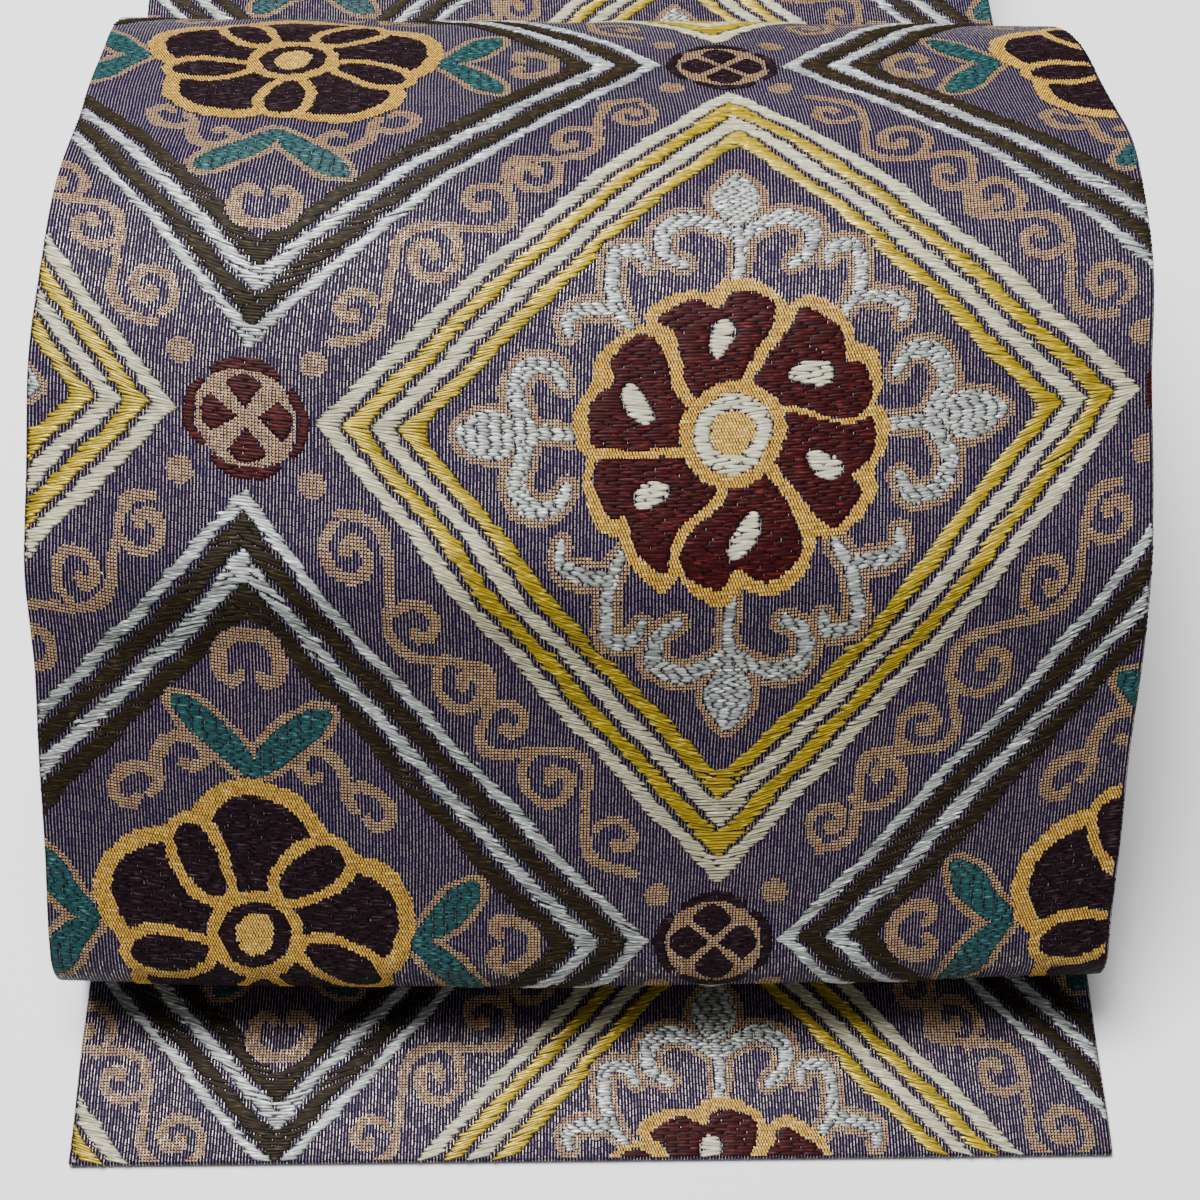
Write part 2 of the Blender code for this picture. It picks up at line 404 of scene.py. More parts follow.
LEAF = smooth_stroke(
    (0.0490, 0.0010, 0.0016), (0.0535, 0.0040, 0.0034), (0.0580, 0.0085, 0.0043),
    (0.0620, 0.0135, 0.0046), (0.0655, 0.0175, 0.0036), (0.0675, 0.0205, 0.0018),
)
ARCH = smooth_stroke(
    (0.0890, 0.0000, 0.0019), (0.0880, 0.0045, 0.0021), (0.0835, 0.0085, 0.0022),
    (0.0780, 0.0085, 0.0020), (0.0755, 0.0050, 0.0018), (0.0775, 0.0028, 0.0017),
)
BRANCH_LONG = smooth_stroke(
    (0.0400, 0.0290, 0.0014), (0.0445, 0.0265, 0.0017), (0.0500, 0.0265, 0.0019),
    (0.0560, 0.0225, 0.0019), (0.0570, 0.0165, 0.0019), (0.0525, 0.0130, 0.0018),
    (0.0485, 0.0160, 0.0016), (0.0495, 0.0190, 0.0016),
)
BRANCH_SHORT = smooth_stroke(
    (0.0455, 0.0265, 0.0016), (0.0470, 0.0320, 0.0018), (0.0445, 0.0375, 0.0019),
    (0.0385, 0.0390, 0.0018), (0.0355, 0.0350, 0.0016), (0.0380, 0.0325, 0.0015),
)
HALO = 0.0021
SPOT_HALF = 0.0038
SCROLL_HALF = 0.0014
SCROLL_MARGIN = 0.034
SCROLL_BAYS = 6
SCROLL_SWAY = 0.0078

# The four sides of a motif, and its four corners
QUARTERS = tuple(number * math.pi / 2 for number in range(4))
CORNERS = ((-1, -1), (-1, 1), (1, -1), (1, 1))

# The waves of the drawing's hand: the squares that each strays by, how often it comes across and along a
# repeat, and where it starts
Wave = namedtuple("Wave", "squares over down start")
SIDE_WAVES = (Wave(1.5, 3, 7, 0.0), Wave(1.1, -5, 13, 1.0), Wave(0.8, 0, 31, 2.0))
ON_WAVES = (Wave(1.3, 5, -3, 0.6), Wave(0.9, 17, 4, 0.0))


def spiral(reach, turns):
    """A spiral that runs in towards its middle, as a stroke with a thicker end."""
    t = np.linspace(0, 1, 60)
    radius = reach * (1 - t) ** 0.8 + 0.0012
    angle = 0.25 + turns * 2 * math.pi * t
    return np.stack([radius * np.cos(angle), radius * np.sin(angle), SCROLL_HALF * (1 + 0.35 * t)], axis=1)


def wrapped(angle):
    """An angle brought between half a turn either way."""
    return (angle + math.pi) % (2 * math.pi) - math.pi


def petals(radius, angle, axes):
    """For each axis of a motif: the angle off it, how far out along it and how far to its side."""
    for axis in axes:
        off = wrapped(angle - axis)
        yield off, radius * np.cos(off), radius * np.sin(off)


class PointPaper:
    """One repeat of the design on a fine grid: each square holds the number of the thread that shows."""

    def __init__(self):
        self.columns = round(REPEAT_ACROSS / SQUARE)
        self.rows = round(REPEAT_ALONG / SQUARE)
        self.squares = np.zeros((self.rows, self.columns), np.uint8)

    def around(self, across, along):
        """Each square's place from a centre, wrapped round the repeat: x, y, radius and angle."""
        x = ((np.arange(self.columns) + 0.5) * SQUARE - across) % REPEAT_ACROSS - REPEAT_ACROSS / 2
        y = ((np.arange(self.rows) + 0.5) * SQUARE - along) % REPEAT_ALONG - REPEAT_ALONG / 2
        x, y = np.meshgrid(x, y)
        return x, y, np.hypot(x, y), np.arctan2(y, x)

    def fill(self, mask, thread):
        """Give the squares of a mask to a thread."""
        self.squares[mask] = NUMBER[thread]

    def stroke(self, curve, thread, across=0.0, along=0.0, way=0.0, mirror=1.0, size=1.0, grow=0.0):
        """Draw a stroke from a motif's middle: way is the direction that its first column points in."""
        for out, side, half in curve:
            x = across + REPEAT_ACROSS / 2 + size * (out * math.cos(way) - mirror * side * math.sin(way))
            y = along + REPEAT_ALONG / 2 + size * (out * math.sin(way) + mirror * side * math.cos(way))
            radius = half + grow
            reach = int(radius / SQUARE) + 2
            columns = np.arange(-reach, reach + 1) + int(x / SQUARE)
            rows = np.arange(-reach, reach + 1) + int(y / SQUARE)
            near = ((rows + 0.5) * SQUARE - y)[:, None] ** 2 + ((columns + 0.5) * SQUARE - x) ** 2 < radius**2
            row, column = np.nonzero(near)
            self.squares[rows[row] % self.rows, columns[column] % self.columns] = NUMBER[thread]

    def thread_at(self, across, row):
        """The thread at places on the cloth."""
        column = np.floor((across - DESIGN_MIDDLE + REPEAT_ACROSS / 2) / SQUARE).astype(int) % self.columns
        line = np.floor((row + REPEAT_ALONG / 2) / SQUARE).astype(int) % self.rows
        return self.squares[line, column]

    def waver(self):
        """The drawing's hand: every outline strays by a square or two, evenly round the repeat."""
        row, column = np.meshgrid(np.arange(self.rows), np.arange(self.columns), indexing="ij")
        down = 2 * math.pi * row / self.rows
        over = 2 * math.pi * column / self.columns
        side, on = (
            sum(wave.squares * np.sin(wave.over * over + wave.down * down + wave.start) for wave in waves)
            for waves in (SIDE_WAVES, ON_WAVES)
        )
        row = row + np.rint(on).astype(int)
        column = column + np.rint(side).astype(int)
        self.squares = self.squares[row % self.rows, column % self.columns]


def draw_diamond(paper, across, along, bands):
    """A diamond's bands, drawn from the outside in, and its ground."""
    places = paper.around(across, along)[:2]
    x, y = (np.hypot(place, CORNER_ROUNDING) - 0.5 * CORNER_ROUNDING for place in places)
    half_across = DIAMOND_ACROSS
    half_along = DIAMOND_ALONG
    for band in bands:
        paper.fill(x / half_across + y / half_along < 1, band.thread)
        half_across -= band.across
        half_along -= band.along
    paper.fill(x / half_across + y / half_along < 1, "ground")


def draw_burgundy_flower(paper, across, along):
    """Six warped petals with a notch in each, a cream drop on each, and a gold eye in a cream ring."""
    rim, rim_notch, rim_shoulder = 0.0440, 0.0032, 0.0050
    tip, notch, foot, gap, corner = 0.0402, 0.0046, 0.0148, 0.0014, 2.6e-6
    drop_place, drop_length, drop_width, drop_flare = 0.0270, 0.0054, 0.0036, 0.14
    _, _, radius, angle = paper.around(across, along)
    angle = angle + 0.12 * np.sin(radius / 0.0070) + 0.05 * np.sin(3 * angle + radius / 0.0060)
    step = math.radians(60.0)
    axes = [math.radians(-102.0) + number * step + 0.035 * math.sin(2.3 * number) for number in range(6)]
    strays = [0.0007 * math.sin(1.9 * number) for number in range(6)]
    for stray, (off, _, _) in zip(strays, petals(radius, angle, axes)):
        edge = rim - rim_notch * np.exp(-((off / 0.12) ** 2)) - rim_shoulder * np.abs(off / (step / 2)) ** 5
        paper.fill((np.abs(off) <= step / 2 + 0.08) & (radius < edge + stray), "amber")
    for stray, (off, out, side) in zip(strays, petals(radius, angle, axes)):
        inside = tip - notch * np.exp(-((off / 0.10) ** 2)) + stray - radius
        beside = radius * np.sin(step / 2 - np.abs(off)) - gap
        petal = (np.abs(off) < step / 2) & (inside > 0) & (beside > 0) & (radius > foot)
        paper.fill(petal & (inside * beside > corner), "burgundy")
        out = out - drop_place
        drop = (out / drop_length) ** 2 + (side / (drop_width + drop_flare * out)) ** 2 < 1
        paper.fill(drop & (np.abs(off) < step / 2), "drop")
    for edge, thread in ((0.0136, "amber"), (0.0110, "drop"), (0.0062, "core")):
        paper.fill(radius < edge, thread)


def draw_aubergine_flower(paper, across, along):
    """Five broad petals behind five narrow ones, and a gold eye in a dark ring."""
    broad_place, narrow_place, narrow_length, narrow_width = 0.0278, 0.0262, 0.0112, 0.0058
    x, y, radius, angle = paper.around(across, along)
    angle = angle + 0.06 * np.sin(radius / 0.0080)
    step = math.radians(72.0)
    axes = [math.radians(-90.0) + number * step for number in range(5)]
    for lobe, gap, thread in ((0.0196, 0.0, "amber"), (0.0146, 0.0017, "aubergine")):
        for off, out, side in petals(radius, angle, axes):
            beside = radius * np.sin(step / 2 - np.abs(off)) - gap
            petal = (np.hypot(out - broad_place, 0.94 * side) < lobe) & (np.abs(off) < step / 2)
            paper.fill(petal & (beside >= 0), thread)
    turns = [number * step for number in range(5)]
    for grow, thread in ((0.0034, "amber"), (0.0, "aubergine")):
        for off, out, side in petals(radius, angle - math.radians(-54.0), turns):
            out = out - narrow_place
            width = narrow_width + grow + 0.10 * out
            petal = (out / (narrow_length + grow)) ** 2 + (side / width) ** 2 < 1
            paper.fill(petal & (np.abs(off) < step / 2), thread)
    paper.fill(radius < 0.0140, "amber")
    paper.fill(radius < 0.0104, "aubergine")
    paper.fill(np.hypot(1.15 * x, 0.9 * y) < 0.0064, "core")


def draw_medallion(paper, across, along, thread, spread, gap):
    """A small roundel: four hearts in a broken ring, on a tan disc."""
    disc, heart_edge, ring_inside, ring_outside, ring_half = 0.0141, 0.0124, 0.0138, 0.0172, 0.68
    _, _, radius, angle = paper.around(across, along)
    paper.fill(radius < disc, "tan")
    for off, out, side in petals(radius, angle, QUARTERS):
        heart = (np.abs(side) < spread * (out - gap)) & (radius < heart_edge - 0.0013 * (off / 0.42) ** 2)
        paper.fill(heart, thread)
        ring = (radius > ring_inside) & (radius < ring_outside - 0.0014 * (off / ring_half) ** 2)
        paper.fill(ring & (np.abs(off) < ring_half), thread)


def draw_spots(paper, across, along, reach_across, reach_along):
    """Four tan spots round a roundel."""
    for x_way, y_way in CORNERS:
        spot = (x_way * reach_across, y_way * reach_along, SPOT_HALF)
        paper.stroke([spot], "tan", across, along)


def draw_scroll(paper, start, end, hand):
    """A vine with a spiral in each of its bays, along the ground between two diamonds, unevenly."""
    way = math.atan2(end[1] - start[1], end[0] - start[0])
    full = math.dist(start, end) - 2 * SCROLL_MARGIN
    phase = 2.0 * start[0] / REPEAT_ACROSS + 3.1 * end[1] / REPEAT_ALONG + hand

    def out_at(share):
        return SCROLL_MARGIN + (share + 0.030 * np.sin(8.0 * share + phase)) * full

    t = np.linspace(0.02, 0.98, 240)
    swing = np.sin(math.pi * SCROLL_BAYS * t)
    side = SCROLL_SWAY * swing * (1 + 0.22 * np.sin(9 * t + phase))
    half = SCROLL_HALF * (1 + 0.25 * swing**2)
    paper.stroke(np.stack([out_at(t), side, half], axis=1), "tan", *start, way, hand)
    for number in range(SCROLL_BAYS):
        up = 1 if number % 2 == 0 else -1
        reach = (0.32 + 0.06 * math.sin(2.7 * number + phase)) * full / SCROLL_BAYS
        curl = spiral(reach, -0.9 - 0.2 * math.sin(3.1 * number + phase))
        curl[:, 0] += out_at((number + 0.53) / SCROLL_BAYS)
        curl[:, 1] = up * (curl[:, 1] - 0.0010)
        paper.stroke(curl, "tan", *start, way, hand)


def draw_palmettes(paper, across, along):
    """Silver palmettes on the four sides of the burgundy flower and sprigs between them, with tan halos."""
    arms = ((PALMETTE_STEM, 1.0), (PALMETTE_ARM, 1.0), (PALMETTE_ARM, -1.0), (PALMETTE_BUD, 1.0))
    for grow, thread in ((HALO, "tan"), (0.0, "bright")):
        for way, size, diagonal, hand in zip(QUARTERS, (0.97, 1.03) * 2, (47.0, 43.0) * 2, (1.0, -1.0) * 2):
            for points, mirror in arms:
                paper.stroke(points, thread, across, along, way, mirror, size, grow)
            sprig_way = way + math.radians(diagonal)
            for points in (SPRIG_LONG, SPRIG_SHORT):
                paper.stroke(points, thread, across, along, sprig_way, hand, 0.97, grow)


def draw_leaves(paper, across, along):
    """Teal leaves in pairs on the four sides of the aubergine flower, with tan halos and curls past them."""
    for way, size in zip(QUARTERS, (0.90, 1.0) * 2):
        for mirror in (-1.0, 1.0):
            paper.stroke(ARCH, "tan", across, along, way, mirror, size)
    for x_way, y_way in CORNERS:
        for points in (BRANCH_LONG, BRANCH_SHORT):
            paper.stroke(points * (y_way, -x_way, 1), "tan", across, along, math.pi / 2)
    for grow, thread in ((HALO, "tan"), (0.0, "teal")):
        for way, size in zip(QUARTERS, (0.94, 1.0) * 2):
            for mirror in (-1.0, 1.0):
                paper.stroke(LEAF, thread, across, along, way, mirror, size, grow)


def draw_design():
    """The whole repeat."""
    paper = PointPaper()
    corner = REPEAT_ACROSS / 2
    foot = REPEAT_ALONG / 2
    draw_scroll(paper, (-corner, 0.0), (0.0, -foot), 1.0)
    draw_scroll(paper, (0.0, -foot), (corner, 0.0), -1.0)
    draw_scroll(paper, (corner, 0.0), (0.0, foot), 1.0)
    draw_scroll(paper, (0.0, foot), (-corner, 0.0), -1.0)
    draw_diamond(paper, 0.0, 0.0, YELLOW_BANDS)
    draw_diamond(paper, corner, foot, BROWN_BANDS)
    draw_palmettes(paper, 0.0, 0.0)
    draw_burgundy_flower(paper, 0.0, 0.0)
    draw_leaves(paper, corner, foot)
    draw_aubergine_flower(paper, corner, foot)
    draw_spots(paper, 0.0, foot, 0.0170, 0.0160)
    draw_spots(paper, corner, 0.0, 0.0185, 0.0165)
    draw_medallion(paper, 0.0, foot, "aubergine", 0.95, 0.0014)
    draw_medallion(paper, corner, 0.0, "burgundy", 0.78, 0.0026)
    paper.waver()
    return paper


# ---------------- shader helpers


def linear(colour):
    """A colour written as six hex digits, as linear light."""
    parts = [int(colour[place : place + 2], 16) / 255 for place in (0, 2, 4)]
    return tuple(p / 12.92 if p < 0.04045 else ((p + 0.055) / 1.055) ** 2.4 for p in parts) + (1.0,)


def connect(tree, node, inputs):
    """Link or set a node's inputs."""
    for name, value in inputs.items():
        if isinstance(value, bpy.types.NodeSocket):
            tree.links.new(value, node.inputs[name])
        else:
            node.inputs[name].default_value = value


def add_node(tree, kind, inputs, **settings):
    """A node with its settings made and its inputs set or linked."""
    node = tree.nodes.new("ShaderNode" + kind)
    for name, value in settings.items():
        setattr(node, name, value)
    connect(tree, node, inputs)
    return node


def maths(tree, operation, first, second=0.0, third=0.0):
    """The result of a Math node."""
    return add_node(tree, "Math", {0: first, 1: second, 2: third}, operation=operation).outputs[0]


def ramp(tree, value, low, high):
    """0 below low and 1 above high, with a soft step between."""
    inputs = {"Value": value, "From Min": low, "From Max": high}
    return add_node(tree, "MapRange", inputs, interpolation_type="SMOOTHSTEP").outputs["Result"]


def blend(tree, share, first, second):
    """Two colours mixed."""
    return add_node(tree, "Mix", {0: share, 6: first, 7: second}, data_type="RGBA").outputs[2]


def shaded(tree, colour, shade):
    """A colour made lighter or darker."""
    return add_node(tree, "VectorMath", {0: colour, "Scale": shade}, operation="SCALE").outputs[0]


def noise(tree, vector, scale, detail=2.0):
    """A noise value from 0 to 1."""
    return add_node(tree, "TexNoise", {"Vector": vector, "Scale": scale, "Detail": detail}).outputs["Fac"]


def new_group(name, inputs, outputs):
    """A shader group with named sockets: the group, what it is given, and the node that takes its results."""
    group = bpy.data.node_groups.new(name, "ShaderNodeTree")
    for way, sockets in (("INPUT", inputs), ("OUTPUT", outputs)):
        for label, kind in sockets.items():
            group.interface.new_socket(label, in_out=way, socket_type="NodeSocket" + kind)
    return group, group.nodes.new("NodeGroupInput").outputs, group.nodes.new("NodeGroupOutput")


def new_material(name):
    """A material, its node tree and its shader."""
    material = bpy.data.materials.new(name)
    material.use_nodes = True
    return material, material.node_tree, material.node_tree.nodes["Principled BSDF"]


# ---------------- finishes

# The ground's ribs and the pale dashes on them: their spacing across and along the cloth
RIB = 0.00094
DASH = 0.0021
GROUND_COLOURS = {"Gap": "020105", "Rib": "1e0440", "Dash": "f4e4d4"}
GROUND_GLOSS = 0.14
# The streaks of a float's filaments, to the metre: long across the cloth and fine along it
STREAKS = (260.0, 1700.0, 1.0)


def ground_group():
    """The ribbed ground: dark gaps, purple ribs and pale dashes of warp down the middle of each rib."""
    group, given, result = new_group(
        "ribbed ground",
        {"Cloth": "Vector", "Gap": "Color", "Rib": "Color", "Dash": "Color"},
        {"Color": "Color", "Height": "Float", "Roughness": "Float", "Metallic": "Float"},
    )
    cloth = add_node(group, "SeparateXYZ", {0: given["Cloth"]})
    # Ribs run along the cloth and wander a little
    waver = noise(group, given["Cloth"], 260.0)
    ribs = maths(group, "MULTIPLY_ADD", waver, 0.35, maths(group, "DIVIDE", cloth.outputs["X"], RIB))
    number = maths(group, "FLOOR", ribs)
    crown = maths(group, "PINGPONG", ribs, 0.5)
    rounding = ramp(group, crown, 0.08, 0.32)
    # Dashes are staggered from rib to rib, and each is paler or fainter by chance
    rib_chance = add_node(group, "TexWhiteNoise", {"W": number}, noise_dimensions="1D").outputs["Value"]
    start = maths(group, "MULTIPLY_ADD", number, 0.5, maths(group, "MULTIPLY", rib_chance, 0.9))
    picks = maths(group, "ADD", start, maths(group, "DIVIDE", cloth.outputs["Y"], DASH))
    along = maths(group, "PINGPONG", picks, 0.5)
    cell = add_node(group, "CombineXYZ", {"X": number, "Y": maths(group, "FLOOR", picks)}).outputs[0]
    chance = add_node(group, "TexWhiteNoise", {"Vector": cell}).outputs["Value"]
    dash = maths(group, "MULTIPLY", ramp(group, crown, 0.34, 0.45), ramp(group, along, 0.03, 0.12))
    strength = maths(group, "MULTIPLY_ADD", maths(group, "POWER", chance, 1.3), 0.66, 0.12)
    pale = maths(group, "MULTIPLY", dash, strength)
    woven = blend(group, pale, blend(group, rounding, given["Gap"], given["Rib"]), given["Dash"])
    drift = ramp(group, noise(group, given["Cloth"], 22.0, 3.0), 0.2, 0.8)
    results = {
        "Color": shaded(group, woven, maths(group, "MULTIPLY_ADD", drift, 0.26, 0.84)),
        "Height": maths(group, "MULTIPLY_ADD", pale, 0.4, rounding),
        "Roughness": maths(group, "MULTIPLY_ADD", pale, -0.20, 0.62),
        "Metallic": maths(group, "MINIMUM", maths(group, "MULTIPLY", pale, 1.6), 1.0),
    }
    connect(group, result, results)
    return group


def yarn_group():
    """A float of thread: painted shade at its foot and sides, painted glints on top, streaked along its
    filaments, each a little different.
    """
    group, given, result = new_group(
        "yarn",
        {"Cloth": "Vector", "Colour": "Color", "Shadow": "Color", "Glint": "Color"}
        | {"Rise": "Float", "Tone": "Float", "Variety": "Float", "Polish": "Float"},
        {"Color": "Color", "Height": "Float", "Roughness": "Float"},
    )
    drawn_out = add_node(group, "Mapping", {"Vector": given["Cloth"], "Scale": STREAKS}).outputs[0]
    streak = noise(group, drawn_out, 1.0)
    # Painted shade: the shadow colour where the float is low, at its ends and sides
    base = blend(group, ramp(group, given["Rise"], 0.0, 0.8), given["Shadow"], given["Colour"])
    # Painted highlight: the glint colour on the float's top, more of it with more variety
    shine = maths(group, "MULTIPLY", ramp(group, streak, 0.52, 0.78), given["Rise"])
    glitter = maths(group, "MULTIPLY_ADD", given["Variety"], 0.8, 0.3)
    lit = blend(group, maths(group, "MULTIPLY", shine, glitter), base, given["Glint"])
    spread = maths(group, "MULTIPLY", maths(group, "SUBTRACT", given["Tone"], 0.5), given["Variety"])
    shade = maths(group, "ADD", maths(group, "MULTIPLY_ADD", streak, 0.9, 0.55), spread)
    rough = maths(group, "MULTIPLY_ADD", streak, -0.15, given["Polish"])
    results = {
        "Color": shaded(group, lit, shade),
        "Height": streak,
        "Roughness": maths(group, "MAXIMUM", rough, 0.12),
    }
    connect(group, result, results)
    return group


# A yarn's finish: colour, the painted shade between threads, the painted glint of single filaments, how much
# floats differ and how much painted glint shows, roughness, metallic value and specular level
Yarn = namedtuple("Yarn", "colour shadow glint variety roughness metallic gloss")
YARNS = {
    "tan": Yarn("ac864c", "1c1014", "f0d29c", 0.40, 0.66, 0.0, 0.12),
    "cream": Yarn("a8a386", "161412", "fffdf0", 0.44, 0.50, 0.0, 0.30),
    "gold": Yarn("98800a", "120e02", "ffe860", 0.64, 0.42, 0.20, 0.35),
    "silver": Yarn("8f9591", "0e0f12", "ffffff", 0.95, 0.42, 0.05, 0.45),
    "brown": Yarn("20190c", "050402", "5c4c34", 0.40, 0.64, 0.0, 0.10),
    "burgundy": Yarn("2a0608", "060001", "74302a", 0.50, 0.54, 0.0, 0.07),
    "aubergine": Yarn("190d11", "030202", "55424a", 0.50, 0.60, 0.0, 0.06),
    "teal": Yarn("143c3e", "041212", "669c98", 0.40, 0.56, 0.0, 0.18),
    "amber": Yarn("cc9c38", "1a0f02", "ffeca8", 0.54, 0.50, 0.0, 0.18),
    "bright": Yarn("8c918c", "16171a", "ffffff", 0.85, 0.40, 0.10, 0.40),
    "drop": Yarn("aba88e", "201e18", "fffdf0", 0.34, 0.50, 0.0, 0.25),
    "core": Yarn("d8ac48", "2a1806", "ffecb0", 0.40, 0.50, 0.0, 0.20),
}
# Each thread's number on the point paper
NUMBER = {name: number for number, name in enumerate(("ground", *YARNS))}


def feed_shader(tree, shader, weave, bump_strength, bump_depth, others):
    """Feed a woven group's results to a shader."""
    bump_inputs = {"Strength": bump_strength, "Distance": bump_depth, "Height": weave.outputs["Height"]}
    bump = add_node(tree, "Bump", bump_inputs)
    shared = {
        "Base Color": weave.outputs["Color"],
        "Roughness": weave.outputs["Roughness"],
        "Normal": bump.outputs[0],
    }
    connect(tree, shader, shared | others)


def make_ground_material(group):
    """The ribbed ground's material, on the flat cloth's own places in metres."""
    material, tree, shader = new_material("ground")
    cloth = add_node(tree, "UVMap", {}, uv_map="cloth").outputs[0]
    colours = {name: linear(colour) for name, colour in GROUND_COLOURS.items()}
    weave = add_node(tree, "Group", {"Cloth": cloth} | colours, node_tree=group)
    others = {"Metallic": weave.outputs["Metallic"], "Specular IOR Level": GROUND_GLOSS}
    feed_shader(tree, shader, weave, 0.8, 0.00030, others)
    return material


def make_yarn_material(name, group):
    """A yarn's material, on the same places, with each float's own height and tone."""
    yarn = YARNS[name]
    material, tree, shader = new_material(name)
    inputs = {
        "Cloth": add_node(tree, "UVMap", {}, uv_map="cloth").outputs[0],
        "Rise": add_node(tree, "Attribute", {}, attribute_name="rise").outputs["Fac"],
        "Tone": add_node(tree, "Attribute", {}, attribute_name="tone").outputs["Fac"],
        "Colour": linear(yarn.colour),
        "Shadow": linear(yarn.shadow),
        "Glint": linear(yarn.glint),
        "Variety": yarn.variety,
        "Polish": yarn.roughness,
    }
    thread = add_node(tree, "Group", inputs, node_tree=group)
    others = {"Metallic": yarn.metallic, "Specular IOR Level": yarn.gloss}
    feed_shader(tree, shader, thread, 0.6, 0.00012, others)
    return material


# ---------------- the cloth

# How the bake's square is shared out, as starts and sizes, with the way from one edge to its pair.  A woven
# group has the whole square.  A thick sheet has its outside, its inside and its selvedges beside each
# other, each as long as FACES, and its two ends past them.
Share = namedtuple("Share", "start size pair", defaults=(0.0,))
WOVEN = Share(0.002, 0.996)
OUTSIDE = Share(0.002, 0.600)
INSIDE = Share(0.615, 0.320)
SELVEDGES = Share(0.948, 0.016, 0.028)
FACES = Share(0.002, 0.960)
ENDS = Share(0.970, 0.010, 0.016)
BAKE_MARGIN = 0.0015
SAME_PLACE = 1e-5

# The most that the cloth turns from one row of its mesh to the next, its edges' radius as a share of its
# wall, and the angle past which an edge is rounded
ROW_TURN = math.radians(9.0)
SOFT_EDGE = 0.36
SHARP = math.radians(60.0)


def corner_points(mesh):
    """The number of the point at each corner of each face."""
    points = np.empty(len(mesh.loops), np.int32)
    mesh.loops.foreach_get("vertex_index", points)
    return points


def name_maps(mesh, across, row, stretch):
    """Give a mesh its map of the flat cloth in metres, and the square map that a bake lays out."""
    cloth = mesh.uv_layers.new(name="cloth")
    bake = mesh.uv_layers.new(name="OFBake")
    points = corner_points(mesh)
    flat = np.stack([across[points], row[points]], axis=1)
    cloth.data.foreach_set("uv", flat.astype(np.float32).ravel())
    low = stretch.figure.min() - BAKE_MARGIN
    high = stretch.figure.max() + BAKE_MARGIN
    laid = np.stack([flat[:, 0] / WIDTH + 0.5, (flat[:, 1] - low) / (high - low)], axis=1)
    bake.data.foreach_set("uv", (WOVEN.start + WOVEN.size * laid).astype(np.float32).ravel())
    mesh.uv_layers.active = cloth
    cloth.active_render = True


def lay_out_bake(mesh, across, row, stretch):
    """Lay a thick sheet on the bake's square: its outside, its inside, then its four edges."""
    points = corner_points(mesh)
    corners = (points % len(across)).reshape(-1, 4)
    depth = (points // len(across)).reshape(-1, 4)
    x = across[corners] / WIDTH + 0.5
    low = stretch.figure.min()
    high = stretch.figure.max()
    y = (row[corners] - low) / (high - low)
    inside = depth.all(axis=1)
    edge = depth.any(axis=1) & ~inside
    side = edge & (np.ptp(x, axis=1) < SAME_PLACE)
    end = edge & ~side
    laid = np.stack([OUTSIDE.start + OUTSIDE.size * x, FACES.start + FACES.size * y], axis=2)
    laid[inside, :, 0] = INSIDE.start + INSIDE.size * x[inside]
    laid[side, :, 0] = SELVEDGES.start + SELVEDGES.pair * (x[side] > 0.5) + SELVEDGES.size * depth[side]
    laid[end, :, 1] = ENDS.start + ENDS.pair * (y[end] > 0.5) + ENDS.size * depth[end]
    mesh.uv_layers["OFBake"].data.foreach_set("uv", laid.astype(np.float32).ravel())


def cloth_rows(stretch, spacing):
    """Lengths along a stretch, close together where it bends."""
    turned = np.abs(np.gradient(stretch.heading, stretch.length))
    density = 1 / spacing + turned / ROW_TURN
    count = np.concatenate([[0], np.cumsum(np.diff(stretch.length) * (density[1:] + density[:-1]) / 2)])
    rows = max(4, int(round(count[-1])))
    return np.interp(np.linspace(0, count[-1], rows + 1), count, stretch.length)


def apply_modifier(piece, kind, **settings):
    """Finish a piece with a modifier."""
    modifier = piece.modifiers.new(kind, kind)
    for name, value in settings.items():
        setattr(modifier, name, value)
    bpy.ops.object.modifier_apply(modifier=kind)


def make_cloth(stretch, name, columns, spacing, wall, material):
    """Cut a sheet flat, fold it along its path and give it its thickness."""
    lengths = cloth_rows(stretch, spacing)
    bpy.ops.object.select_all(action="DESELECT")
    gaps = len(lengths) - 1
    bpy.ops.mesh.primitive_grid_add(x_subdivisions=columns, y_subdivisions=gaps, size=1.0, calc_uvs=False)
    piece = bpy.context.object
    piece.name = name
    mesh = piece.data
    mesh.name = name
    flat = np.empty(len(mesh.vertices) * 3)
    mesh.vertices.foreach_get("co", flat)
    flat = flat.reshape(-1, 3)
    across = flat[:, 0] * WIDTH
    along = lengths[np.rint((flat[:, 1] + 0.5) * gaps).astype(int)]
    row = design_row(stretch, across, along)
    name_maps(mesh, across, row, stretch)
    mesh.vertices.foreach_set("co", fold(stretch, across, along, 0.0).ravel())
    mesh.update()
    mesh.materials.append(material)
    apply_modifier(piece, "SOLIDIFY", thickness=wall, offset=-1.0, use_even_offset=True)
    lay_out_bake(mesh, across, row, stretch)
    rounding = {"width": wall * SOFT_EDGE, "segments": 3, "limit_method": "ANGLE", "angle_limit": SHARP}
    apply_modifier(piece, "BEVEL", **rounding)
    bpy.ops.object.shade_smooth_by_angle(angle=math.radians(50.0))
    return piece


# ---------------- the floats

